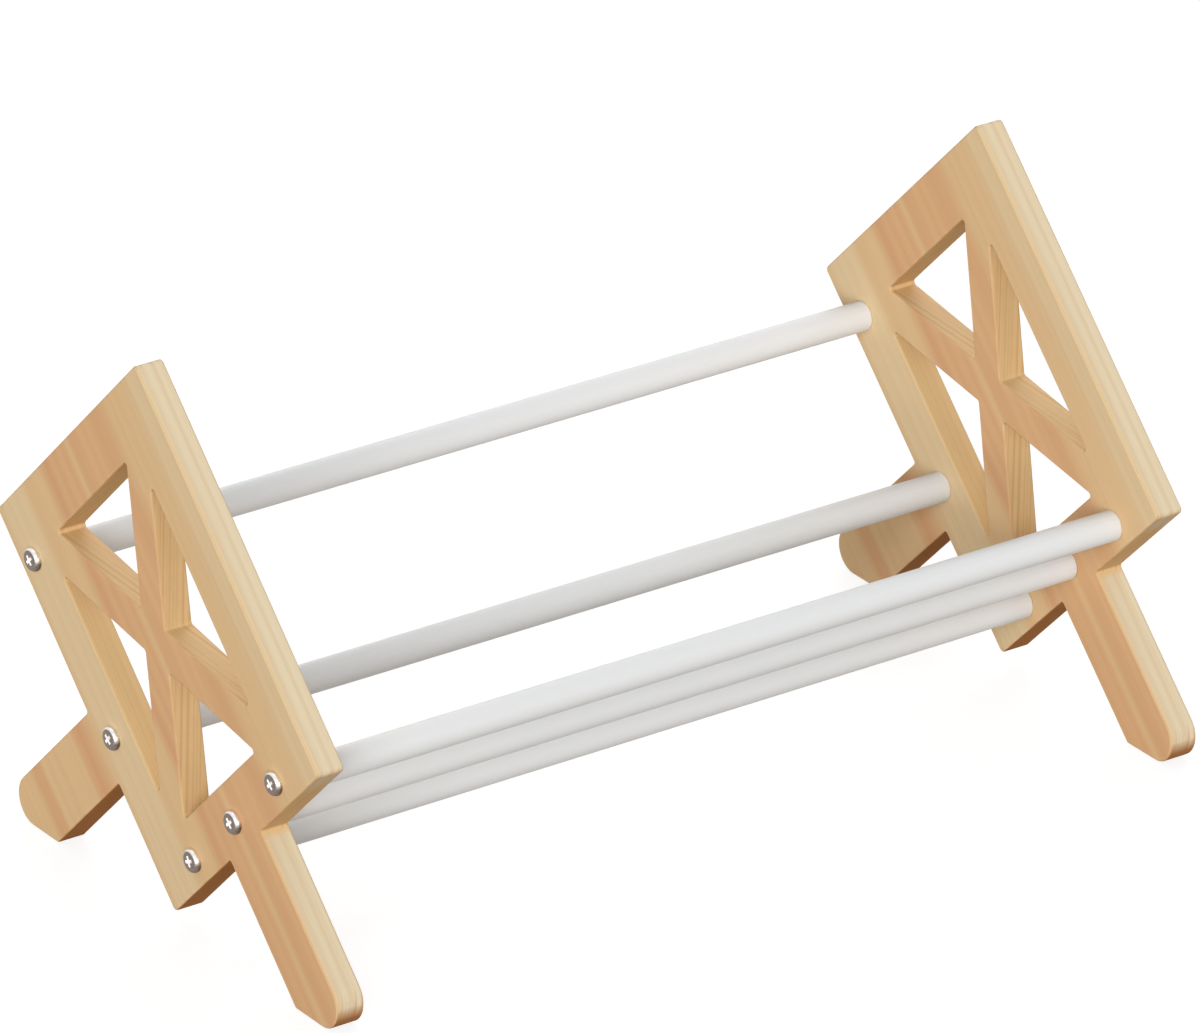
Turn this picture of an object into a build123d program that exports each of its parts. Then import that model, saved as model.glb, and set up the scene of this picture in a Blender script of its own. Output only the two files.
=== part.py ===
from build123d import *

import os
from math import asin, atan2, cos, degrees, hypot, radians, sin, tan

# A desktop book rack: two pine side panels, tilted on legs of their own, held apart by five painted rods.
# Lengths are in millimetres. The rack stands on Z = 0, its rods run along X and its open front faces -Y.
# Each side panel is drawn flat, in its own plane, from its lowest corner: u runs along the shelf edge,
# forward and up, and v runs along the back edge, backward and up.

# Side panels, cut from one board each
panel_thickness = 15.0
shelf_edge_length = 169.5
back_edge_length = 209.5
shelf_tilt = 45.0  # degrees that the shelf edge rises towards the front
rail_width = 30.5
cross_bar_width = 19.5
outer_corner_radius = 2.5
window_corner_radius = 1.5
arris_radius = 1.0  # rounding of every long edge that a hand meets

# Legs, which run out of the same board, one below the shelf edge and one behind the back edge
leg_offset = 66.3  # from the lowest corner to the leg's near edge
leg_width = 36.7
corner_height = 6.4  # of the lowest corner above the desk
toe_radius = 12.5
heel_radius = 2.0
leg_root_radius = 1.5

# Rods
rack_clear_length = 460.0  # between the side panels
rod_diameter = 15.0
rod_end_rounding = 0.8
shelf_rod_pitch = 48.3
shelf_rod_inset = 12.3  # rod centre from the shelf edge
back_rod_inset = 13.4  # rod centre from the back edge
upper_rod_drop = 32.0  # upper back rod centre from the panel's top edge

# Screws, one through the panel into each rod end
screw_head_diameter = 11.4
screw_head_height = 3.6
screw_crown_rise = 0.8  # of the domed top over its shoulder
screw_shoulder_radius = 1.4
screw_shank_diameter = 5.0
screw_grip = 30.0  # length of shank inside the rod, with its point
screw_point_length = 4.0
screw_hole_clearance = 0.3  # on the radius, in the panel
recess_span = 5.6
recess_wing_width = 1.3
recess_depth = 2.2
recess_taper = 8.0  # degrees
screw_turns = {  # degrees that each cross recess happens to be turned, at the left end and the right
    "shelf_rod_rear": (-20, 35),
    "shelf_rod_middle": (-3, 12),
    "shelf_rod_front": (0, -28),
    "back_rod_lower": (5, 40),
    "back_rod_upper": (0, -9),
}

tilt = radians(shelf_tilt)
leg_centre = leg_offset + leg_width / 2
leg_far_edge = leg_offset + leg_width


def side_plane(x):
    """The drawing plane of a side panel, at x along the rack. It faces -X."""
    return Plane(origin=(x, 0, 0), x_dir=(0, -cos(tilt), sin(tilt)), z_dir=(-1, 0, 0))


def panel_outline():
    """The outside of the board: a rectangle with two legs whose feet are cut level."""
    front_leg = (leg_offset * sin(tilt) + corner_height) / cos(tilt)
    rear_leg = (leg_offset * cos(tilt) + corner_height) / sin(tilt)
    front_toe = front_leg + leg_width * tan(tilt)
    rear_toe = rear_leg + leg_width / tan(tilt)
    corners = [
        ((0, 0), outer_corner_radius),
        ((leg_offset, 0), leg_root_radius),
        ((leg_offset, -front_leg), heel_radius),
        ((leg_far_edge, -front_toe), toe_radius),
        ((leg_far_edge, 0), leg_root_radius),
        ((shelf_edge_length, 0), outer_corner_radius),
        ((shelf_edge_length, back_edge_length), outer_corner_radius),
        ((0, back_edge_length), outer_corner_radius),
        ((0, leg_far_edge), leg_root_radius),
        ((-rear_toe, leg_far_edge), toe_radius),
        ((-rear_leg, leg_offset), heel_radius),
        ((0, leg_offset), leg_root_radius),
    ]
    points = [point for point, _ in corners]
    radii = [radius for _, radius in corners]
    return make_face(FilletPolyline(*points, radius=radii, close=True))


def panel_windows():
    """Four triangular windows, left where an X of two bars crosses the inside of the rails."""
    width = shelf_edge_length - 2 * rail_width
    height = back_edge_length - 2 * rail_width
    bar_length = 2 * hypot(width, height)
    bar_angle = degrees(atan2(height, width))
    bar = Rectangle(bar_length, cross_bar_width)
    windows = Rectangle(width, height) - Rot(0, 0, bar_angle) * bar - Rot(0, 0, -bar_angle) * bar
    windows = fillet(windows.vertices(), window_corner_radius)
    return Pos(shelf_edge_length / 2, back_edge_length / 2) * windows


# Rod centres in the panel's plane
shelf_middle = shelf_edge_length / 2
rod_centres = {
    "shelf_rod_rear": (shelf_middle - shelf_rod_pitch, shelf_rod_inset),
    "shelf_rod_middle": (shelf_middle, shelf_rod_inset),
    "shelf_rod_front": (shelf_middle + shelf_rod_pitch, shelf_rod_inset),
    "back_rod_lower": (back_rod_inset, leg_centre),
    "back_rod_upper": (back_rod_inset, back_edge_length - upper_rod_drop),
}


def flat_panel():
    """One side panel lying in its drawing plane, with eased edges and its five screw holes."""
    board = extrude(panel_outline() - panel_windows(), panel_thickness)
    long_edges = board.edges().filter_by(Plane.XY)
    board = fillet(long_edges, arris_radius)
    hole_radius = screw_shank_diameter / 2 + screw_hole_clearance
    hole = Cylinder(hole_radius, panel_thickness, align=(Align.CENTER, Align.CENTER, Align.MIN))
    for centre in rod_centres.values():
        board -= Pos(*centre) * hole
    return board


def flat_screw():
    """A pan-head screw along +Z: underside of the head at 0, head above, shank below."""
    shank_radius = screw_shank_diameter / 2
    head_radius = screw_head_diameter / 2
    tip = -panel_thickness - screw_grip
    dome_radius = (head_radius**2 + screw_crown_rise**2) / (2 * screw_crown_rise)
    dome_angle = degrees(asin(head_radius / dome_radius))
    dome_centre = (0, screw_head_height - dome_radius)
    shoulder = (head_radius, screw_head_height - screw_crown_rise)
    with BuildSketch(Plane.XZ) as half_section:
        with BuildLine():
            Polyline(
                (0, tip),
                (shank_radius, tip + screw_point_length),
                (shank_radius, 0),
                (head_radius, 0),
                shoulder,
            )
            CenterArc(dome_centre, dome_radius, 90, -dome_angle)
            Line((0, screw_head_height), (0, tip))
        make_face()
        rim = half_section.vertices().sort_by_distance(Plane.XZ.from_local_coords(shoulder))[0]
        fillet(rim, screw_shoulder_radius)
    blank = revolve(half_section.sketch, Axis.Z)
    cross = Rectangle(recess_span, recess_wing_width) + Rectangle(recess_wing_width, recess_span)
    recess = extrude(Pos(0, 0, screw_head_height) * cross, -recess_depth, taper=recess_taper)
    return blank - recess


def plain_rod():
    """A rod along +Z, centred, with rounded ends and a pilot hole in each for its screw."""
    rod = Cylinder(rod_diameter / 2, rack_clear_length)
    rod = fillet(rod.edges().filter_by(GeomType.CIRCLE), rod_end_rounding)
    pilot = Cylinder(screw_shank_diameter / 2, screw_grip, align=(Align.CENTER, Align.CENTER, Align.MIN))
    foot = Pos(0, 0, -rack_clear_length / 2)
    return rod - foot * pilot - Rot(180, 0, 0) * foot * pilot


parts = {}

left_inner_face = -rack_clear_length / 2
right_outer_face = rack_clear_length / 2 + panel_thickness
panel = flat_panel()
parts["left_side_panel"] = side_plane(left_inner_face) * panel
parts["right_side_panel"] = side_plane(right_outer_face) * panel

rod = plain_rod()
screw = flat_screw()
for rod_name, (u, v) in rod_centres.items():
    parts[rod_name] = side_plane(0) * Pos(u, v) * rod
    left_turn, right_turn = screw_turns[rod_name]
    left_seat = side_plane(-right_outer_face) * Pos(u, v)
    right_seat = side_plane(right_outer_face) * Pos(u, v) * Rot(0, 180, 0)
    parts[f"left_screw_{rod_name}"] = left_seat * Rot(0, 0, left_turn) * screw
    parts[f"right_screw_{rod_name}"] = right_seat * Rot(0, 0, right_turn) * screw

# The origin goes to the middle of the rack's footprint, on the desk
whole = Compound([*parts.values()]).bounding_box()
to_origin = Pos(-whole.center().X, -whole.center().Y, -whole.min.Z)

os.makedirs("parts", exist_ok=True)
for name, shape in parts.items():
    export_step(to_origin * shape, f"parts/{name}.step")

print("overall size", [round(value, 2) for value in whole.size])
print("moved by", [round(value, 3) for value in to_origin.position])
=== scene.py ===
# %% [markdown]
# # A desktop book rack in pine, white rods and steel screws
# The real rack is two pine side boards, each cut from one piece with an X of braces and two legs, held apart
# by five painted rods. Ten pan-head screws pass through the boards into the rod ends. The shapes and sizes
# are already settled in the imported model, so this lesson is about finish: wood that is solid all the way
# through, a satin paint, and small bright screws modelled in full.

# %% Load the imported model
import math

import bmesh
import bpy
from mathutils import Matrix, Vector


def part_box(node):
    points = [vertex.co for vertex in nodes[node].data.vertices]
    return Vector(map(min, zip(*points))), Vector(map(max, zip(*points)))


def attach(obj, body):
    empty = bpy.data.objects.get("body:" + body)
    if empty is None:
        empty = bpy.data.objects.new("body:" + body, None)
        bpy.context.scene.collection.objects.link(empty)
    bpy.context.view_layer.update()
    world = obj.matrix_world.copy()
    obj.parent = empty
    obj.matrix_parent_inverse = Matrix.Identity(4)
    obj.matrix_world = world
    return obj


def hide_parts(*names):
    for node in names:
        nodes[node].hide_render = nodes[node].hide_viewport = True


MM = 1000.0  # millimetres in a metre

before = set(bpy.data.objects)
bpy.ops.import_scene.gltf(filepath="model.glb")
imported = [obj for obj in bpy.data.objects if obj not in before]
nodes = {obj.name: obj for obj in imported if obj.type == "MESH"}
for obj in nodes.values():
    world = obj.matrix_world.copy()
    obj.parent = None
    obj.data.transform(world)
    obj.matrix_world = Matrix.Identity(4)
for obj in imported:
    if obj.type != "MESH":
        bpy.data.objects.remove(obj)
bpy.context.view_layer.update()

# %% [markdown]
# ## Directions of a tilted board
# A side board leans back at 45 degrees. Its grain runs up the lean, from the shelf edge to the top, and every
# pattern in the wood follows from that one direction. We could type the board's corner in by hand, but it is
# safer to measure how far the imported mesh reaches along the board's own directions.

# %% Measure the side boards along and across the grain
board_tilt = math.radians(45)
across_grain = Vector((0, -math.cos(board_tilt), math.sin(board_tilt)))
along_grain = Vector((0, math.sin(board_tilt), math.cos(board_tilt)))


def reach(node_name, direction):
    """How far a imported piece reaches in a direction, in metres."""
    return max(vertex.co.dot(direction) for vertex in nodes[node_name].data.vertices)


board_names = ["left_side_panel", "right_side_panel"]
front_edge = reach("left_side_panel", across_grain)
top_edge = reach("left_side_panel", along_grain)
print("front edge and top edge, mm:", round(MM * front_edge, 1), round(MM * top_edge, 1))

# %% [markdown]
# ## The camera
# The photograph was taken with a long lens from the left front, about 26 degrees above the desk. A long lens
# keeps parallel edges nearly parallel, so the camera stands far away. Its place is written as angles and a
# distance from a point inside the rack, which is easier to read than bare coordinates.

# %% Place the camera
camera_azimuth = math.radians(-35.011)
camera_elevation = math.radians(25.742)
camera_roll = math.radians(0.245)
camera_distance = 5.977  # m
aim_point = Vector((0.0302, 0.0457, 0.1135))
sensor_width = 36.0  # mm
focal_length = 379.6  # mm
farthest_seen = 100.0  # m, well past the edge of the floor

backward = Vector(
    (
        math.sin(camera_azimuth) * math.cos(camera_elevation),
        -math.cos(camera_azimuth) * math.cos(camera_elevation),
        math.sin(camera_elevation),
    )
)
camera = bpy.data.objects.new("camera", bpy.data.cameras.new("camera"))
bpy.context.scene.collection.objects.link(camera)
camera.location = aim_point + camera_distance * backward
level_view = (-backward).to_track_quat("-Z", "Y").to_matrix()
camera.rotation_euler = (level_view @ Matrix.Rotation(camera_roll, 3, "Z")).to_euler()
camera.data.sensor_width = sensor_width
camera.data.lens = focal_length
camera.data.clip_end = farthest_seen
bpy.context.scene.camera = camera
print("camera stands at, m:", [round(value, 3) for value in camera.location])

# %% [markdown]
# ## Three helpers for every material
# Colours are written as hex values, as a paint chart gives them. Hex values are display values, and shaders
# work in linear light, so one function turns the first into the second. Another adds a node, sets it and
# links it in one call, so that a material reads from top to bottom like a recipe. The third starts a
# material off empty.

# %% Define the colour and node helpers
def linear(hex_colour):
    """A hex display colour as linear red, green, blue and full alpha, by the sRGB curve."""
    channels = [int(hex_colour[place : place + 2], 16) / 255 for place in (1, 3, 5)]
    light = [c / 12.92 if c <= 0.04045 else ((c + 0.055) / 1.055) ** 2.4 for c in channels]
    return (*light, 1.0)


def add(tree, kind, inputs=None, stops=(), **settings):
    """Adds a node. An input takes a value or another node's output; stops are (position, colour) pairs."""
    new = tree.nodes.new(kind)
    for name, value in settings.items():
        setattr(new, name, value)
    for socket, value in (inputs or {}).items():
        if isinstance(value, bpy.types.NodeSocket):
            tree.links.new(value, new.inputs[socket])
        else:
            new.inputs[socket].default_value = value
    for place, (position, colour) in enumerate(stops):
        ramp = new.color_ramp.elements
        stop = ramp[place] if place < 2 else ramp.new(position)
        stop.position = position
        stop.color = colour
    return new


def empty_material(name):
    """A new material with an output node and nothing else."""
    material = bpy.data.materials.new(name)
    material.use_nodes = True
    material.node_tree.nodes.clear()
    return material, material.node_tree


print("middle grey in linear light:", round(linear("#808080")[0], 3))

# %% [markdown]
# ## Floor and light
# The photograph shows the rack on pure white, yet the undersides of the wood are brown. A floor bright enough
# to be white would throw its light up under the wood. So the floor and the dome round it are white only to
# the camera and to reflections. To the light that bounces between surfaces, the floor is a grey desk.

# %% Tell apart the rays that see white
def seen_directly(tree):
    """1 for camera, glossy and transmission rays, and 0 for the light that bounces between surfaces."""
    path = add(tree, "ShaderNodeLightPath")
    sight = {0: path.outputs["Is Camera Ray"], 1: path.outputs["Is Glossy Ray"]}
    sight = add(tree, "ShaderNodeMath", sight, operation="MAXIMUM").outputs[0]
    sight = {0: sight, 1: path.outputs["Is Transmission Ray"]}
    return add(tree, "ShaderNodeMath", sight, operation="MAXIMUM").outputs[0]


WHITE = linear("#FFFFFF")
print("white in linear light:", WHITE[:3])

# %% Make the floor
floor_half = 20.0
desk_seen_by_light = "#9C9186"
shadow_catcher = "#8F8F8F"  # the part of the white that the lamps have to light, so that a shadow shows
own_glow = 0.82  # the rest of the white

floor_mesh = bpy.data.meshes.new("floor")
corners = [(x * floor_half, y * floor_half, 0) for x, y in ((-1, -1), (1, -1), (1, 1), (-1, 1))]
floor_mesh.from_pydata(corners, [], [range(4)])
floor = bpy.data.objects.new("floor", floor_mesh)
bpy.context.scene.collection.objects.link(floor)

floor_paint, tree = empty_material("white_studio_floor")
desk = add(tree, "ShaderNodeBsdfDiffuse", {"Color": linear(desk_seen_by_light)}).outputs[0]
shadowed = add(tree, "ShaderNodeBsdfDiffuse", {"Color": linear(shadow_catcher)}).outputs[0]
glow = add(tree, "ShaderNodeEmission", {"Color": WHITE, "Strength": own_glow}).outputs[0]
white = add(tree, "ShaderNodeAddShader", {0: shadowed, 1: glow}).outputs[0]
surface = add(tree, "ShaderNodeMixShader", {0: seen_directly(tree), 1: desk, 2: white}).outputs[0]
add(tree, "ShaderNodeOutputMaterial", {"Surface": surface})
floor_mesh.materials.append(floor_paint)
print("floor side, m:", 2 * floor_half)

# %% Make the dome
dome_to_surfaces = 0.29  # what the dome gives to surfaces, where 1 is white

world = bpy.data.worlds.new("studio_dome")
bpy.context.scene.world = world
world.use_nodes = True
world.node_tree.nodes.clear()
tree = world.node_tree
strength = {"Value": seen_directly(tree), "To Min": dome_to_surfaces, "To Max": 1.0}
strength = add(tree, "ShaderNodeMapRange", strength).outputs[0]
dome = add(tree, "ShaderNodeBackground", {"Color": WHITE, "Strength": strength}).outputs[0]
add(tree, "ShaderNodeOutputWorld", {"Surface": dome})
print("dome strength for surfaces:", dome_to_surfaces)

# %% [markdown]
# Four lamps shape the rack. The main one is low and broad, from the left front, as from a large window beside
# the camera. It reaches the walls inside the near board's openings and lights the rods almost evenly. A top
# light picks out the edges that face up, a low one from straight ahead reaches under the shelf edge, and one
# behind the rack keeps its back from going dull. All are suns rather than small softboxes, because a sun
# lights the far board as strongly as the near.

# %% Add the four lamps
def soft_sun(name, direction, share, spread):
    """A soft sun. Share is how white it makes a white card that faces it, and spread is in degrees."""
    lamp = bpy.data.objects.new(name, bpy.data.lights.new(name, "SUN"))
    lamp.data.energy = share * math.pi
    lamp.data.angle = math.radians(spread)
    lamp.rotation_euler = Vector(direction).to_track_quat("Z", "Y").to_euler()
    bpy.context.scene.collection.objects.link(lamp)
    print(name, "share of white:", share, "spread, degrees:", spread)


soft_sun("window_light", (-0.71, -0.67, 0.3), 0.775, 40)
soft_sun("top_light", (0.3, 0.3, 0.9), 0.18, 60)
soft_sun("front_fill", (0.0, -0.98, 0.15), 0.23, 30)
soft_sun("back_light", (0.62, 0.68, 0.4), 0.48, 50)

# %% [markdown]
# ## Pine under matt varnish
# The boards are pine, planed, sanded and sealed with a matt clear varnish: pale straw sapwood, with soft
# amber bands where a growth ring comes level with the face, and fine long fibres. A flat picture of wood
# would break at every edge. A real board is solid, so this material is worked out in three dimensions, from
# how far a point lies from the front edge, how deep it lies in the board and how far up the grain.
#
# The broad bands belong to the two faces, and are listed as a ramp from the front edge to the rear toe.

# %% Choose the bands of the face
STRAW = linear("#E5CCA2")
TAN = linear("#E2C091")
AMBER = linear("#E0B485")
DEEP_AMBER = linear("#DCAD80")
ROSE_AMBER = linear("#D9A67B")

board_reach = 270.0  # mm from the front edge back to the toe of the rear leg
face_bands = [  # (mm from the front edge, colour there)
    (0, STRAW),
    (10, STRAW),
    (18, TAN),
    (38, TAN),
    (48, DEEP_AMBER),
    (54, DEEP_AMBER),
    (61, AMBER),
    (66, AMBER),
    (72, AMBER),
    (77, DEEP_AMBER),
    (81, DEEP_AMBER),
    (85, TAN),
    (88, AMBER),
    (91, DEEP_AMBER),
    (94, AMBER),
    (100, DEEP_AMBER),
    (105, AMBER),
    (109, ROSE_AMBER),
    (112, ROSE_AMBER),
    (118, TAN),
    (136, TAN),
    (143, STRAW),
    (163, STRAW),
    (170, TAN),
    (179, DEEP_AMBER),
    (184, ROSE_AMBER),
    (188, DEEP_AMBER),
    (194, TAN),
    (228, TAN),
    (232, DEEP_AMBER),
    (238, DEEP_AMBER),
    (244, TAN),
]
band_stops = [(place / board_reach, colour) for place, colour in face_bands]
print("bands on the face:", len(band_stops))

# %% [markdown]
# Where the board is sawn through, other wood shows. The outer rim and the legs are the palest part of the
# board, with a few soft streaks that run along the edge. Inside the openings it is tan, a little darker as
# painted shade.

# %% Choose the streaks of the pale rim
PALE = linear("#DFD0B1")
PALE_STREAK = linear("#D9C5A3")
# tan of the walls inside the openings, partly real colour and partly painted shade
OPENING_TAN_AND_SHADE = linear("#DCBB89")
edge_streaks = [  # (mm from the board's left face, colour there)
    (0.0, STRAW),
    (2.4, PALE_STREAK),
    (5.5, PALE),
    (7.0, PALE),
    (8.9, PALE_STREAK),
    (11.0, PALE),
    (13.0, PALE),
    (15.0, PALE_STREAK),
]
board_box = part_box(board_names[0])
board_thickness = MM * (board_box[1].x - board_box[0].x)
streak_stops = [(place / board_thickness, colour) for place, colour in edge_streaks]
print("board thickness, mm:", round(board_thickness, 2))

# %% [markdown]
# Every pattern asks the same things of a point: how far it lies from the front edge, how deep in the board
# and how far up the grain, and how squarely the surface cuts the fibres there. Three functions answer as
# sockets, with distances in millimetres, and the patterns after them only pick from the answers.

# %% Measure where a point lies in a board
def board_place(tree, board):
    """Sockets with distances in mm, for the board of that name."""
    point = add(tree, "ShaderNodeTexCoord").outputs["Object"]
    mm = add(tree, "ShaderNodeVectorMath", {0: point, "Scale": MM}, operation="SCALE").outputs[0]
    across = {0: mm, 1: across_grain}
    across = add(tree, "ShaderNodeVectorMath", across, operation="DOT_PRODUCT").outputs["Value"]
    along = {0: mm, 1: along_grain}
    along = add(tree, "ShaderNodeVectorMath", along, operation="DOT_PRODUCT").outputs["Value"]
    apart = add(tree, "ShaderNodeSeparateXYZ", {0: mm})
    depth = {0: apart.outputs["X"], 1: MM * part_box(board)[0].x}
    depth = add(tree, "ShaderNodeMath", depth, operation="SUBTRACT").outputs[0]
    from_front = {0: MM * front_edge, 1: across}
    from_front = add(tree, "ShaderNodeMath", from_front, operation="SUBTRACT").outputs[0]
    from_top = {0: MM * top_edge, 1: along}
    from_top = add(tree, "ShaderNodeMath", from_top, operation="SUBTRACT").outputs[0]
    lengthways = {0: from_front, 1: depth, 2: along}
    lengthways = add(tree, "ShaderNodeCombineXYZ", lengthways).outputs[0]
    return {
        "from_front": from_front,
        "from_top": from_top,
        "depth": depth,  # from the board's left face
        "height": apart.outputs["Z"],  # above the desk
        "lengthways": lengthways,  # from the front, depth, along the grain
    }


# %% Measure how the surface lies to the grain
rim_width = 12.0  # mm of pale wood behind the front edge, which fades over as much again
leg_top = 210.5  # mm below the top edge, where the pale wood of the legs begins
leg_fade = 4.0  # mm over which it begins


def surface_lie(tree):
    """Two sockets from 0 to 1: cut is 1 on end grain, and facing is 1 on the two broad faces."""
    normal = add(tree, "ShaderNodeNewGeometry").outputs["Normal"]
    cut = {0: normal, 1: along_grain}
    cut = add(tree, "ShaderNodeVectorMath", cut, operation="DOT_PRODUCT").outputs["Value"]
    cut = add(tree, "ShaderNodeMath", {0: cut}, operation="ABSOLUTE").outputs[0]
    facing = add(tree, "ShaderNodeSeparateXYZ", {0: normal}).outputs["X"]
    facing = add(tree, "ShaderNodeMath", {0: facing}, operation="ABSOLUTE").outputs[0]
    return {"cut": cut, "facing": facing}


def pale_rim(tree, place):
    """1 in the pale wood at the front edge and in the legs, and 0 elsewhere."""
    at_front = {"Value": place["from_front"], "From Min": 2 * rim_width, "From Max": rim_width}
    at_front = add(tree, "ShaderNodeMapRange", at_front).outputs[0]
    at_legs = {"Value": place["from_top"], "From Min": leg_top, "From Max": leg_top + leg_fade}
    at_legs = add(tree, "ShaderNodeMapRange", at_legs).outputs[0]
    return add(tree, "ShaderNodeMath", {0: at_front, 1: at_legs}, operation="MAXIMUM").outputs[0]


print("pale rim, mm wide:", rim_width)

# %% Colour the faces and the sawn surfaces
MIX_FACTOR, MIX_FIRST, MIX_SECOND, MIX_RESULT = 0, 6, 7, 2  # sockets of a Mix node, for colours
waver_reach = 1.8  # mm that a band strays to each side
waver_width = 70.0  # mm across the grain
waver_length = 110.0  # mm along the grain


def face_colour(tree, place):
    """The bands of the two faces, which waver a little along the grain."""
    slow = {0: place["lengthways"], 1: (waver_width, waver_width, waver_length)}
    slow = add(tree, "ShaderNodeVectorMath", slow, operation="DIVIDE").outputs[0]
    waver = add(tree, "ShaderNodeTexNoise", {"Vector": slow, "Scale": 1.0, "Detail": 1.0}).outputs["Fac"]
    waver = {"Value": waver, "To Min": -waver_reach, "To Max": waver_reach}
    waver = add(tree, "ShaderNodeMapRange", waver).outputs[0]
    band_place = {0: place["from_front"], 1: waver}
    band_place = add(tree, "ShaderNodeMath", band_place, operation="ADD").outputs[0]
    band_share = {0: band_place, 1: board_reach}
    band_share = add(tree, "ShaderNodeMath", band_share, operation="DIVIDE").outputs[0]
    return add(tree, "ShaderNodeValToRGB", {0: band_share}, stops=band_stops).outputs[0]


def sawn_colour(tree, place):
    """The streaks of the pale rim, and the tan of the walls inside the openings, darkened a little as painted
    shade.
    """
    depth_share = {0: place["depth"], 1: board_thickness}
    depth_share = add(tree, "ShaderNodeMath", depth_share, operation="DIVIDE").outputs[0]
    streaks = add(tree, "ShaderNodeValToRGB", {0: depth_share}, stops=streak_stops).outputs[0]
    layers = {MIX_FACTOR: place["rim"], MIX_FIRST: OPENING_TAN_AND_SHADE, MIX_SECOND: streaks}
    return add(tree, "ShaderNodeMix", layers, data_type="RGBA").outputs[MIX_RESULT]


print("bands stray by, mm:", waver_reach)

# %% Join the colours at the arris, and paint shade on it
band_depth = 1.0  # mm that a band reaches in from the face, which is also the radius of the arris
ARRIS_PAINTED_SHADE = linear("#B8996F")  # painted shade, which darkens the rounded edge a little
arris_shade_share = 0.5  # of that painted shade, on the middle of the arris


def ground_colour(tree, place):
    """The colour of the wood before its rings and fibres, with painted shade on the arris."""
    half = board_thickness / 2
    from_middle = {0: place["depth"], 1: half}
    from_middle = add(tree, "ShaderNodeMath", from_middle, operation="SUBTRACT").outputs[0]
    from_middle = add(tree, "ShaderNodeMath", {0: from_middle}, operation="ABSOLUTE").outputs[0]
    on_face = {"Value": from_middle, "From Min": half - band_depth, "From Max": half}
    on_face = add(tree, "ShaderNodeMapRange", on_face).outputs[0]
    layers = {MIX_FIRST: sawn_colour(tree, place), MIX_SECOND: face_colour(tree, place), MIX_FACTOR: on_face}
    ground = add(tree, "ShaderNodeMix", layers, data_type="RGBA").outputs[MIX_RESULT]
    off_arris = add(tree, "ShaderNodeMath", {0: on_face, 1: 0.5}, operation="SUBTRACT").outputs[0]
    off_arris = add(tree, "ShaderNodeMath", {0: off_arris}, operation="ABSOLUTE").outputs[0]
    # painted shade, strongest on the middle of the arris
    arris_shade_mask = {"Value": off_arris, "From Max": 0.5, "To Min": arris_shade_share, "To Max": 0.0}
    arris_shade_mask = add(tree, "ShaderNodeMapRange", arris_shade_mask).outputs[0]
    layers = {MIX_FACTOR: arris_shade_mask, MIX_FIRST: ground, MIX_SECOND: ARRIS_PAINTED_SHADE}
    return add(tree, "ShaderNodeMix", layers, data_type="RGBA").outputs[MIX_RESULT]


print("bands reach in, mm:", band_depth)

# %% [markdown]
# The growth rings keep their real pitch of two millimetres or so. They lie nearly level with the faces and
# rise slowly towards the front edge, which is why a cut through the board shows them as long slanting lines.
# They show most where the saw crossed the fibres.

# %% Draw the growth rings
LATE_WOOD = linear("#BC854A")
ring_pitch = 1.9  # mm from one growth ring to the next
ring_rise = 0.22  # mm of depth that a ring rises for each mm towards the front edge
face_contrast = 0.08  # share of the late wood's colour where the surface runs along the fibres
wall_contrast = 0.22  # on a wall of an opening that runs along the grain
cut_contrast = 0.42  # where the saw crossed the fibres
crossed_from = 0.1  # of how squarely the surface cuts the fibres
crossed_full = 0.6
wall_from = 0.7  # of how squarely the surface faces the side, as the two broad faces do
wall_full = 0.3
late_wood_from = 0.44  # of the noise that stands for the rings
late_wood_full = 0.7


def ring_contrast(tree, place):
    """How strongly the rings show."""
    contrast = {"Value": place["cut"], "From Min": crossed_from, "From Max": crossed_full}
    contrast.update({"To Min": face_contrast, "To Max": cut_contrast})
    contrast = add(tree, "ShaderNodeMapRange", contrast).outputs[0]
    on_wall = {"Value": place["facing"], "From Min": wall_from, "From Max": wall_full}
    on_wall["To Max"] = wall_contrast
    on_wall = add(tree, "ShaderNodeMapRange", on_wall).outputs[0]
    on_wall = {0: on_wall, 1: place["rim"]}
    on_wall = add(tree, "ShaderNodeMath", on_wall, operation="SUBTRACT", use_clamp=True).outputs[0]
    return add(tree, "ShaderNodeMath", {0: contrast, 1: on_wall}, operation="MAXIMUM").outputs[0]


def with_rings(tree, place, colour):
    """Adds the dark late wood of each growth ring."""
    rise = {0: place["from_front"], 1: ring_rise}
    rise = add(tree, "ShaderNodeMath", rise, operation="MULTIPLY").outputs[0]
    ring = add(tree, "ShaderNodeMath", {0: place["depth"], 1: rise}, operation="ADD").outputs[0]
    ring = add(tree, "ShaderNodeMath", {0: ring, 1: ring_pitch}, operation="DIVIDE").outputs[0]
    late = {"W": ring, "Scale": 1.0, "Detail": 2.0, "Roughness": 0.6}
    late = add(tree, "ShaderNodeTexNoise", late, noise_dimensions="1D").outputs["Fac"]
    late = {"Value": late, "From Min": late_wood_from, "From Max": late_wood_full}
    late = add(tree, "ShaderNodeMapRange", late).outputs[0]
    late = {0: late, 1: ring_contrast(tree, place)}
    late = add(tree, "ShaderNodeMath", late, operation="MULTIPLY").outputs[0]
    layers = {MIX_FACTOR: late, MIX_FIRST: colour, MIX_SECOND: LATE_WOOD}
    return add(tree, "ShaderNodeMix", layers, data_type="RGBA").outputs[MIX_RESULT]


print("ring pitch, mm:", ring_pitch)

# %% [markdown]
# Real pine fibres are a thirtieth of a millimetre wide, too fine for any picture of a whole rack, so they are
# drawn about fifteen times as wide, with broader bundles of them underneath. End grain drinks the varnish and
# comes out browner, and low down it is darker still, as painted shade near the desk.

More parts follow.
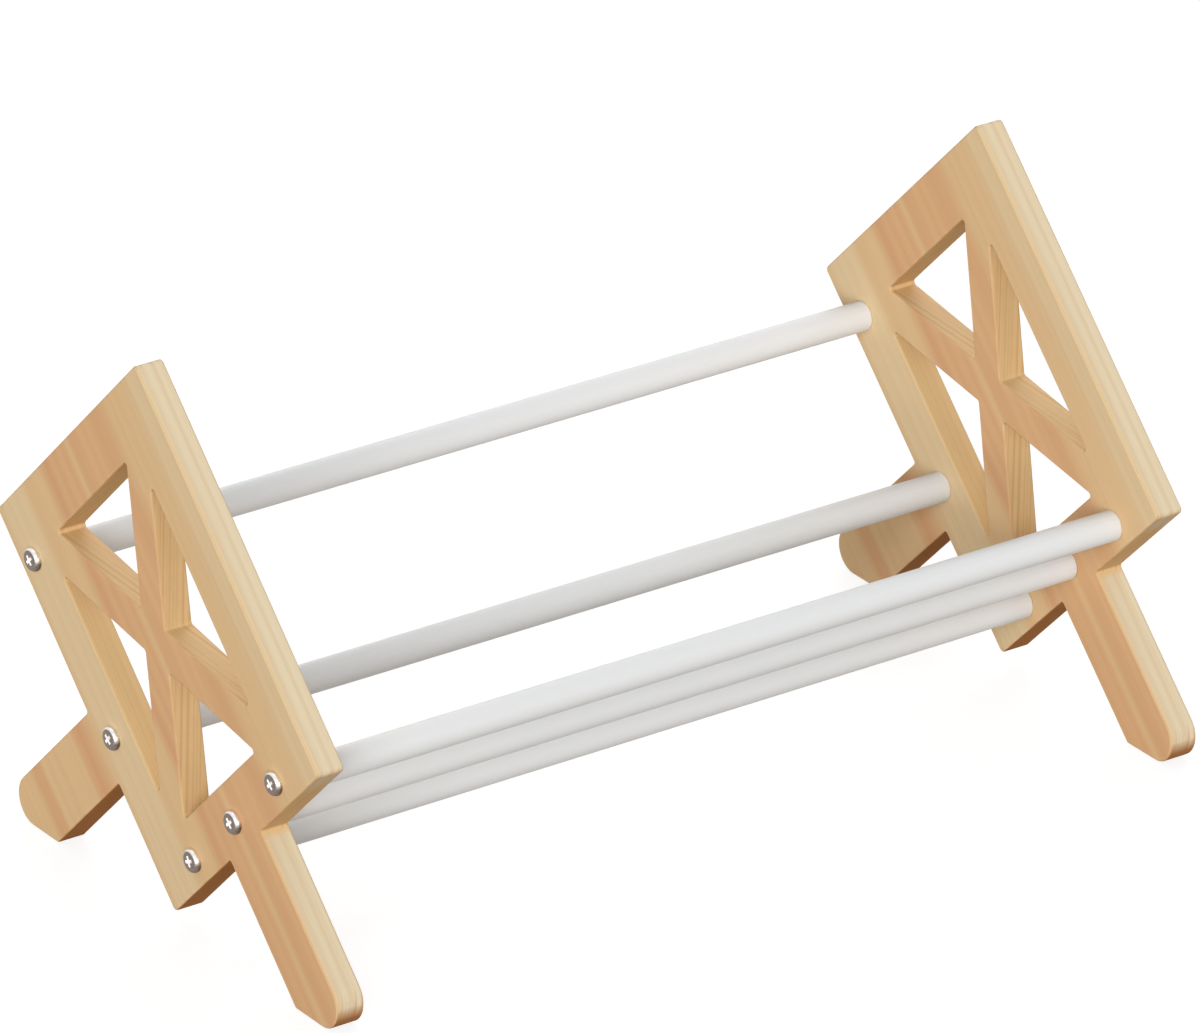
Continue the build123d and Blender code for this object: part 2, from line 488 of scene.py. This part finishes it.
# %% Draw the fibres
FIBRE_SHADE = linear("#C49864")
fibre_width = 0.45  # mm
fibre_length = 24.0  # mm
bundle_width = 4.0  # mm
bundle_length = 160.0  # mm
fibre_share = 0.11  # of the shade, on the darkest fibres
fibre_from = 0.4  # of the noise that stands for the fibres
fibre_full = 0.75


def fibre_noise(tree, place, width, length):
    """Noise drawn out along the grain."""
    thin = {0: place["lengthways"], 1: (width, width, length)}
    thin = add(tree, "ShaderNodeVectorMath", thin, operation="DIVIDE").outputs[0]
    return add(tree, "ShaderNodeTexNoise", {"Vector": thin, "Scale": 1.0, "Detail": 3.0}).outputs["Fac"]


def with_fibres(tree, colour, noise):
    """Darkens a colour where the noise is high."""
    shade = {"Value": noise, "From Min": fibre_from, "From Max": fibre_full, "To Max": fibre_share}
    shade = add(tree, "ShaderNodeMapRange", shade).outputs[0]
    layers = {MIX_FACTOR: shade, MIX_FIRST: colour, MIX_SECOND: FIBRE_SHADE}
    return add(tree, "ShaderNodeMix", layers, data_type="RGBA").outputs[MIX_RESULT]


print("fibres, mm wide and long:", fibre_width, fibre_length)

# %% Brown the end grain, with painted shade low down
END_GRAIN = linear("#A46A36")
end_grain_from = 0.65  # of how squarely the surface cuts the fibres
end_grain_full = 0.95
shaded_below = 45.0  # mm above the desk, below which the end grain is darkest, as painted shade
unshaded_above = 80.0  # mm above the desk, above which no shade is painted
shaded_share = 0.94  # of the brown, low down, where most of it is painted shade
unshaded_share = 0.2  # of the brown, high up


def with_end_grain(tree, place, colour):
    """Browns the surfaces that cut straight across the fibres, and more so low down, as painted shade."""
    low = {"Value": place["height"], "From Min": unshaded_above, "From Max": shaded_below}
    low.update({"To Min": unshaded_share, "To Max": shaded_share})
    low = add(tree, "ShaderNodeMapRange", low).outputs[0]
    ends = {"Value": place["cut"], "From Min": end_grain_from, "From Max": end_grain_full}
    ends = add(tree, "ShaderNodeMapRange", ends).outputs[0]
    # end grain brown, darker low down as painted shade near the desk
    brown_and_shade = add(tree, "ShaderNodeMath", {0: ends, 1: low}, operation="MULTIPLY").outputs[0]
    layers = {MIX_FACTOR: brown_and_shade, MIX_FIRST: colour, MIX_SECOND: END_GRAIN}
    return add(tree, "ShaderNodeMix", layers, data_type="RGBA").outputs[MIX_RESULT]


print("end grain is dry above, mm:", unshaded_above)

# %% [markdown]
# The varnish goes over everything at once. Matt varnish scatters what it reflects, so it is rough and shines
# little, and raised fibres are rougher than the wood between them. Each board has a material of its own,
# because depth is counted from that board's left face.

# %% Mix the pine and give it to both boards
varnish_ior = 1.5
varnish_shine = 0.15  # specular level, where 0.5 is a full gloss
varnish_between = 0.5  # roughness between the fibres
varnish_raised = 0.62  # roughness on them
varnish_on_ends = 0.9  # roughness where open end grain drank it
fibre_height = 0.1  # mm
fibre_strength = 0.3  # share of that height that light sees


def pine_under_varnish(name, board):
    """Pine for one board, under its varnish."""
    material, tree = empty_material(name)
    place = board_place(tree, board)
    place.update(surface_lie(tree))
    place["rim"] = pale_rim(tree, place)
    fibres = fibre_noise(tree, place, fibre_width, fibre_length)
    bundles = fibre_noise(tree, place, bundle_width, bundle_length)
    colour = with_rings(tree, place, ground_colour(tree, place))
    colour = with_fibres(tree, colour, bundles)
    colour = with_fibres(tree, colour, fibres)
    colour = with_end_grain(tree, place, colour)
    relief = {"Height": fibres, "Strength": fibre_strength, "Distance": fibre_height / MM}
    relief = add(tree, "ShaderNodeBump", relief).outputs[0]
    roughness = {"Value": fibres, "To Min": varnish_between, "To Max": varnish_raised}
    roughness = add(tree, "ShaderNodeMapRange", roughness).outputs[0]
    open_ends = {"Value": place["cut"], "From Min": end_grain_from, "From Max": end_grain_full}
    open_ends.update({"To Min": roughness, "To Max": varnish_on_ends})
    roughness = add(tree, "ShaderNodeMapRange", open_ends).outputs[0]
    varnish = {"Base Color": colour, "Roughness": roughness, "Normal": relief}
    varnish.update({"IOR": varnish_ior, "Specular IOR Level": varnish_shine})
    wood = add(tree, "ShaderNodeBsdfPrincipled", varnish).outputs[0]
    add(tree, "ShaderNodeOutputMaterial", {"Surface": wood})
    return material


for board in board_names:
    pine = pine_under_varnish(board.replace("panel", "pine"), board)
    nodes[board].data.materials.clear()
    nodes[board].data.materials.append(pine)
    print(board, "gets", pine.name)

# %% [markdown]
# ## White rods
# The rods are turned dowels sprayed with satin white enamel. Spray paint levels almost flat, but leaves a
# faint orange peel, and the grain of the dowel telegraphs through it as hair-fine lines along its length.
# Both are slight bumps, and the paint is a touch greyer where it has sunk into the grain.

# %% Mix the enamel
PAINT = linear("#E0E2E3")
THIN_PAINT = linear("#DDDEDE")  # where it has sunk into the grain of the dowel
peel_width = 1.6  # mm from one dimple of the spray to the next
dowel_grain_width = 0.35  # mm
dowel_grain_length = 40.0  # mm
peel_height = 0.2  # mm
peel_strength = 0.12  # share of that height that light sees
dowel_grain_height = 0.1  # mm
dowel_grain_strength = 0.1
paint_ior = 1.5
paint_shine = 0.25  # specular level, where 0.5 is a full gloss
paint_smoothest = 0.45  # roughness
paint_roughest = 0.55


def satin_enamel():
    """White spray paint over a wooden dowel."""
    material, tree = empty_material("satin_white_enamel")
    place = add(tree, "ShaderNodeTexCoord").outputs["Object"]
    mm = add(tree, "ShaderNodeVectorMath", {0: place, "Scale": MM}, operation="SCALE").outputs[0]
    dimples = {"Vector": mm, "Scale": 1 / peel_width, "Detail": 1.0}
    dimples = add(tree, "ShaderNodeTexNoise", dimples).outputs["Fac"]
    drawn = {0: mm, 1: (dowel_grain_length, dowel_grain_width, dowel_grain_width)}
    drawn = add(tree, "ShaderNodeVectorMath", drawn, operation="DIVIDE").outputs[0]
    grain = add(tree, "ShaderNodeTexNoise", {"Vector": drawn, "Scale": 1.0, "Detail": 2.0}).outputs["Fac"]
    peel = {"Height": dimples, "Strength": peel_strength, "Distance": peel_height / MM}
    peel = add(tree, "ShaderNodeBump", peel).outputs[0]
    relief = {"Height": grain, "Strength": dowel_grain_strength, "Normal": peel}
    relief["Distance"] = dowel_grain_height / MM
    relief = add(tree, "ShaderNodeBump", relief).outputs[0]
    roughness = {"Value": dimples, "To Min": paint_smoothest, "To Max": paint_roughest}
    roughness = add(tree, "ShaderNodeMapRange", roughness).outputs[0]
    layers = {MIX_FACTOR: grain, MIX_FIRST: PAINT, MIX_SECOND: THIN_PAINT}
    tone = add(tree, "ShaderNodeMix", layers, data_type="RGBA").outputs[MIX_RESULT]
    paint = {"Base Color": tone, "Roughness": roughness, "Normal": relief}
    paint.update({"IOR": paint_ior, "Specular IOR Level": paint_shine})
    paint = add(tree, "ShaderNodeBsdfPrincipled", paint).outputs[0]
    add(tree, "ShaderNodeOutputMaterial", {"Surface": paint})
    return material


enamel = satin_enamel()
rod_names = sorted(name for name in nodes if "_rod_" in name and "screw" not in name)
for rod in rod_names:
    nodes[rod].data.materials.clear()
    nodes[rod].data.materials.append(enamel)
print("painted rods:", rod_names)

# %% [markdown]
# ## Pan-head screws
# Five screws on each side pass through the board into the rod ends. Only their heads show: wide pan heads
# with a nearly flat crown, a full round shoulder and a cross recess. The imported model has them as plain
# solids, so each is replaced by a screw made in full, thread and point included, because a reader may take
# one out to look at.
#
# A screw is a turned part, so its skin is one outline spun about its axis. The recess is then cut out of the
# head by a boolean, much as a punch forms the real one.

# %% Draw the outline of the screw
head_radius = 5.95  # mm, like every size of the screw
crown_height = 3.35  # of the middle of the head above the board
crown_radius = 4.6
crown_rings = (0, 0.9, 1.8, 2.8, 3.8, crown_radius)  # radii of the points on the crown
shoulder_top = 3.05  # above the board, like the foot of the shoulder
shoulder_foot = 0.7
shoulder_rings = 8
foot_curve = [(0.03, 0.3), (0.15, 0.08), (0.35, 0)]  # in from the edge of the head, and above the board
neck_curve = [(0.4, 0), (0.1, 0.15), (0, 0.5)]  # out from the neck, and below the board
neck_radius = 2.45
root_radius = 1.9  # of the shank between the threads
plain_shank = 11.0  # length of shank without thread
shank_step = 0.6  # length over which the shank narrows to its root
shank_length = 45.0
point_length = 5.0
tip_radius = 0.12
tip_length = 0.1


def screw_outline():
    """Radius and height of the skin, from the middle of the crown to the tip. The board is at height 0."""
    crown = []
    for radius in crown_rings:
        sunk = (crown_height - shoulder_top) * (radius / crown_radius) ** 2
        crown.append((radius, crown_height - sunk))
    shoulder = []
    for ring in range(1, shoulder_rings + 1):
        angle = math.radians(90 * ring / shoulder_rings)
        radius = crown_radius + (head_radius - crown_radius) * math.sin(angle)
        shoulder.append((radius, shoulder_foot + (shoulder_top - shoulder_foot) * math.cos(angle)))
    foot = [(head_radius - inward, height) for inward, height in foot_curve]
    neck = [(neck_radius + outward, -drop) for outward, drop in neck_curve]
    shank = [(neck_radius, shank_step - plain_shank), (root_radius, -plain_shank)]
    point = [(root_radius, point_length - shank_length), (tip_radius, tip_length - shank_length)]
    return crown + shoulder + foot + neck + shank + point + [(0, -shank_length)]


print("points on the outline:", len(screw_outline()))

# %% Spin the outline into a closed skin
spin_steps = 48


def spun(outline):
    """A closed mesh from an outline that starts and ends on the axis."""
    skin = bmesh.new()
    rings = []
    for radius, height in outline:
        if radius == 0:
            rings.append([skin.verts.new((0, 0, height))] * spin_steps)
            continue
        angles = [math.tau * step / spin_steps for step in range(spin_steps)]
        rings.append([skin.verts.new((radius * math.cos(a), radius * math.sin(a), height)) for a in angles])
    for upper, lower in zip(rings, rings[1:]):
        for step in range(spin_steps):
            after = (step + 1) % spin_steps
            corners = dict.fromkeys([upper[step], lower[step], lower[after], upper[after]])
            skin.faces.new(list(corners))
    return skin


def as_object(shape, name):
    """Turns a bmesh into an object, and frees the bmesh."""
    mesh = bpy.data.meshes.new(name)
    shape.to_mesh(mesh)
    shape.free()
    made = bpy.data.objects.new(name, mesh)
    bpy.context.scene.collection.objects.link(made)
    return made


blank = as_object(spun(screw_outline()), "screw_blank")
print("faces on the blank:", len(blank.data.polygons))

# %% [markdown]
# A cross recess narrows as it goes down, so that the driver centres itself. Its cutter is therefore the same
# twelve-cornered cross at three heights, smaller each time, closed by a point at the bottom.

# %% Cut the cross recess
recess_levels = [  # (mm above the board, half span, half width of a wing)
    (crown_height + 0.5, 2.95, 0.9),
    (crown_height - 0.05, 2.6, 0.66),
    (crown_height - 1.4, 1.6, 0.28),
]
recess_point = crown_height - 2.0  # where the driver's tip would end
cross_sides = 12


def cross_corners(span, wing):
    """The twelve corners of a cross, anticlockwise."""
    arm = [(span, -wing), (span, wing), (wing, wing)]
    quarters = [(1, 0), (0, 1), (-1, 0), (0, -1)]
    return [(c * x - s * y, s * x + c * y) for c, s in quarters for x, y in arm]


def recess_cutter():
    """The solid that the recess leaves empty."""
    cutter = bmesh.new()
    rings = []
    for height, span, wing in recess_levels:
        rings.append([cutter.verts.new((x, y, height)) for x, y in cross_corners(span, wing)])
    cutter.faces.new(rings[0])
    for upper, lower in zip(rings, rings[1:]):
        for corner in range(cross_sides):
            after = (corner + 1) % cross_sides
            cutter.faces.new([upper[corner], lower[corner], lower[after], upper[after]])
    tip = cutter.verts.new((0, 0, recess_point))
    for corner in range(cross_sides):
        after = (corner + 1) % cross_sides
        cutter.faces.new([rings[-1][corner], tip, rings[-1][after]])
    return cutter


cutter = as_object(recess_cutter(), "recess_cutter")
cut = blank.modifiers.new("recess", "BOOLEAN")
cut.object = cutter
cut.operation = "DIFFERENCE"
cut.solver = "EXACT"
recessed = bpy.data.meshes.new_from_object(blank.evaluated_get(bpy.context.evaluated_depsgraph_get()))
bpy.data.objects.remove(blank)
bpy.data.objects.remove(cutter)
print("faces once recessed:", len(recessed.polygons))

# %% [markdown]
# The thread is a ridge that climbs round the shank like a vine. It is made on its own, as a row of triangles
# joined into a skin, and its foot sinks a little into the shank, so no gap shows. It swells over its first
# turn and dies away over its last turn and a half.

# %% Wind the thread
thread_pitch = 2.4  # mm that the thread climbs in a turn
crest_radius = 2.48
ridge_half_width = 0.5
ridge_foot_depth = 0.2  # that the foot sinks into the shank
least_foot = 0.05  # radius of the foot near the tip
turns_to_swell = 1.0
turns_to_fade = 1.5
least_crest = 0.02  # share of the crest left at both ends, so that the skin never folds flat
least_width = 0.1  # share of the width left there
steps_per_turn = 24
thread_start = -plain_shank - 0.6  # just below the step in the shank
thread_end = -shank_length + 1.2  # just above the tip


def core_radius(height):
    """Radius of the bare shank at a height, on its straight part or its point."""
    above_tip = height + shank_length
    return root_radius * min(1.0, above_tip / point_length)


def thread_ridge():
    """The helical ridge as a closed mesh."""
    ridge = bmesh.new()
    turns = (thread_start - thread_end) / thread_pitch
    steps = round(turns * steps_per_turn)
    rows = []
    for step in range(steps + 1):
        height = thread_start - (thread_start - thread_end) * step / steps
        angle = math.tau * step / steps_per_turn
        core = core_radius(height)
        swelling = step / steps_per_turn / turns_to_swell
        fading = (steps - step) / steps_per_turn / turns_to_fade
        share = min(1.0, swelling, fading)
        crest = core + (crest_radius - root_radius) * max(share, least_crest)
        foot = max(core - ridge_foot_depth, least_foot)
        half = ridge_half_width * max(share, least_width)
        row = [(foot, height + half), (crest, height), (foot, height - half)]
        rows.append([ridge.verts.new((r * math.cos(angle), r * math.sin(angle), z)) for r, z in row])
    ridge.faces.new(rows[0])
    ridge.faces.new(rows[-1][::-1])
    for now, later in zip(rows, rows[1:]):
        for side in range(3):
            other = (side + 1) % 3
            ridge.faces.new([now[side], now[other], later[other], later[side]])
    return ridge


whole_screw = bmesh.new()
whole_screw.from_mesh(recessed)
ridge_mesh = bpy.data.meshes.new("thread_ridge")
thread_ridge().to_mesh(ridge_mesh)
whole_screw.from_mesh(ridge_mesh)
bmesh.ops.scale(whole_screw, vec=(1 / MM, 1 / MM, 1 / MM), verts=whole_screw.verts)
bmesh.ops.recalc_face_normals(whole_screw, faces=whole_screw.faces)
print("faces on the whole screw:", len(whole_screw.faces))

# %% [markdown]
# The plating is bright nickel. A warm grey is painted on the flat crown and on the underside of each
# shoulder, as a painted dark reflection, patchy in spots. The upper side of the shoulder stays bright. The
# recess is bright too, but the driver has scraped it rough. Three masks say where a point is, and the colour
# follows from them.

# %% Find where a head gets its painted dark reflection, and where it stays bright
crown_fade = 0.4  # mm over which the painted dark reflection fades at the shoulder
underside_from = 0.4  # of how squarely the surface faces up
underside_full = -0.1
wing_edge = 0.68  # mm from the middle line of a wing to its edge
wing_fade = 0.14
span_edge = 2.6  # mm from the middle of the recess to the end of a wing
span_fade = 0.15


def crown_dark_mask(tree, mm):
    """1 on the crown and 0 outside it; the crown gets a painted dark reflection."""
    flat = add(tree, "ShaderNodeVectorMath", {0: mm, 1: (1, 1, 0)}, operation="MULTIPLY").outputs[0]
    radius = add(tree, "ShaderNodeVectorMath", {0: flat}, operation="LENGTH").outputs["Value"]
    inside = {"Value": radius, "From Min": crown_radius + crown_fade, "From Max": crown_radius}
    return add(tree, "ShaderNodeMapRange", inside).outputs[0]


def underside_dark_mask(tree):
    """1 where the surface faces down and 0 where it faces up; the lower side gets a painted dark reflection.
    """
    normal = add(tree, "ShaderNodeNewGeometry").outputs["Normal"]
    up = add(tree, "ShaderNodeSeparateXYZ", {0: normal}).outputs["Z"]
    under = {"Value": up, "From Min": underside_from, "From Max": underside_full}
    return add(tree, "ShaderNodeMapRange", under).outputs[0]


def bright_cross(tree, mm):
    """1 in and just round the cross recess, and 0 elsewhere."""
    size = add(tree, "ShaderNodeVectorMath", {0: mm}, operation="ABSOLUTE").outputs[0]
    apart = add(tree, "ShaderNodeSeparateXYZ", {0: size})
    sides = {0: apart.outputs["X"], 1: apart.outputs["Y"]}
    narrow = add(tree, "ShaderNodeMath", sides, operation="MINIMUM").outputs[0]
    wide = add(tree, "ShaderNodeMath", sides, operation="MAXIMUM").outputs[0]
    in_wing = {"Value": narrow, "From Min": wing_edge + wing_fade, "From Max": wing_edge}
    in_wing = add(tree, "ShaderNodeMapRange", in_wing).outputs[0]
    in_span = {"Value": wide, "From Min": span_edge + span_fade, "From Max": span_edge}
    in_span = add(tree, "ShaderNodeMapRange", in_span).outputs[0]
    return add(tree, "ShaderNodeMath", {0: in_wing, 1: in_span}, operation="MULTIPLY").outputs[0]


print("the crown is dull out to, mm:", crown_radius)

# %% Mix the nickel plate
NICKEL = linear("#EDEAE6")
# warm grey of the painted dark reflection on the crown and underside
PAINTED_DARK_REFLECTION = linear("#6F6058")
spots_per_mm = 1.4
spot_height = 0.1  # mm
spot_strength = 0.1  # share of that height that light sees
least_painted_dark = 0.85  # share of the painted dark reflection on its clearest spots
clearest_spots = 0.2  # of the noise that stands for the spots
darkest_spots = 0.8
bright_roughness = 0.25
dull_roughness = 0.42
scraped_roughness = 0.65


def nickel_plate():
    """Nickel over steel, with a painted dark reflection on the crown and underside, bright on the shoulder
    and in the recess.
    """
    material, tree = empty_material("bright_nickel_plate")
    place = add(tree, "ShaderNodeTexCoord").outputs["Object"]
    mm = add(tree, "ShaderNodeVectorMath", {0: place, "Scale": MM}, operation="SCALE").outputs[0]
    spots = {"Vector": mm, "Scale": spots_per_mm, "Detail": 2.0}
    spots = add(tree, "ShaderNodeTexNoise", spots).outputs["Fac"]
    # painted dark reflection on the crown and on the side that faces down, patchy in spots
    dull = {0: crown_dark_mask(tree, mm), 1: underside_dark_mask(tree)}
    dull = add(tree, "ShaderNodeMath", dull, operation="MAXIMUM").outputs[0]
    cross = bright_cross(tree, mm)
    dull = {0: dull, 1: cross}
    dull = add(tree, "ShaderNodeMath", dull, operation="SUBTRACT", use_clamp=True).outputs[0]
    patchy = {"Value": spots, "From Min": clearest_spots, "From Max": darkest_spots}
    patchy["To Min"] = least_painted_dark
    patchy = add(tree, "ShaderNodeMapRange", patchy).outputs[0]
    dull = add(tree, "ShaderNodeMath", {0: dull, 1: patchy}, operation="MULTIPLY").outputs[0]
    layers = {MIX_FACTOR: dull, MIX_FIRST: NICKEL, MIX_SECOND: PAINTED_DARK_REFLECTION}
    tone = add(tree, "ShaderNodeMix", layers, data_type="RGBA").outputs[MIX_RESULT]
    roughness = {"Value": dull, "To Min": bright_roughness, "To Max": dull_roughness}
    roughness = add(tree, "ShaderNodeMapRange", roughness).outputs[0]
    scraped = {"Value": cross, "To Min": roughness, "To Max": scraped_roughness}
    roughness = add(tree, "ShaderNodeMapRange", scraped).outputs[0]
    relief = {"Height": spots, "Strength": spot_strength, "Distance": spot_height / MM}
    relief = add(tree, "ShaderNodeBump", relief).outputs[0]
    plate = {"Base Color": tone, "Metallic": 1.0, "Roughness": roughness, "Normal": relief}
    plate = add(tree, "ShaderNodeBsdfPrincipled", plate).outputs[0]
    add(tree, "ShaderNodeOutputMaterial", {"Surface": plate})
    return material


plate = nickel_plate()
print("screw finish:", plate.name)

# %% [markdown]
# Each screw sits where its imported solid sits, with its axis along the rod. No two were driven home at quite
# the same angle, so each cross is turned its own way.

# %% Drive in the ten screws
cross_turns = {  # degrees, at the left end of each rod and at the right
    "shelf_rod_rear": (-20, 35),
    "shelf_rod_middle": (-3, 12),
    "shelf_rod_front": (0, -28),
    "back_rod_lower": (5, 40),
    "back_rod_upper": (0, -9),
}
sharp_angle = 32  # degrees between two faces whose shared edge stays crisp
screw_mesh = bpy.data.meshes.new("pan_head_screw")
whole_screw.to_mesh(screw_mesh)
whole_screw.free()
screw_mesh.materials.append(plate)
screw_mesh.shade_smooth()
screw_mesh.set_sharp_from_angle(angle=math.radians(sharp_angle))


def drive_screw(side, rod, turn):
    """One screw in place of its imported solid, at the left or right end of a rod."""
    node = f"{side}_screw_{rod}"
    low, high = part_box(node)
    board_low, board_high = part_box(f"{side}_side_panel")
    left = side == "left"
    outward = Vector((-1, 0, 0)) if left else Vector((1, 0, 0))
    sideways = across_grain if left else -across_grain
    facing = Matrix((sideways, along_grain, outward)).transposed().to_4x4()
    screw = bpy.data.objects.new(f"{side}_pan_head_screw_{rod}", screw_mesh.copy())
    bpy.context.scene.collection.objects.link(screw)
    seat = board_low.x if left else board_high.x
    middle = (low + high) / 2
    place = Matrix.Translation((seat, middle.y, middle.z))
    screw.matrix_world = place @ facing @ Matrix.Rotation(math.radians(turn), 4, "Z")
    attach(screw, "root")
    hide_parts(node)


for rod, (left_turn, right_turn) in cross_turns.items():
    drive_screw("left", rod, left_turn)
    drive_screw("right", rod, right_turn)
print("screws driven:", 2 * len(cross_turns))

# %% [markdown]
# The new screw heads are wider and flatter than the imported ones. Last, the render shows each colour as it
# is written, with the Standard view and no film curve over it.

bpy.context.scene.view_settings.view_transform = "Standard"
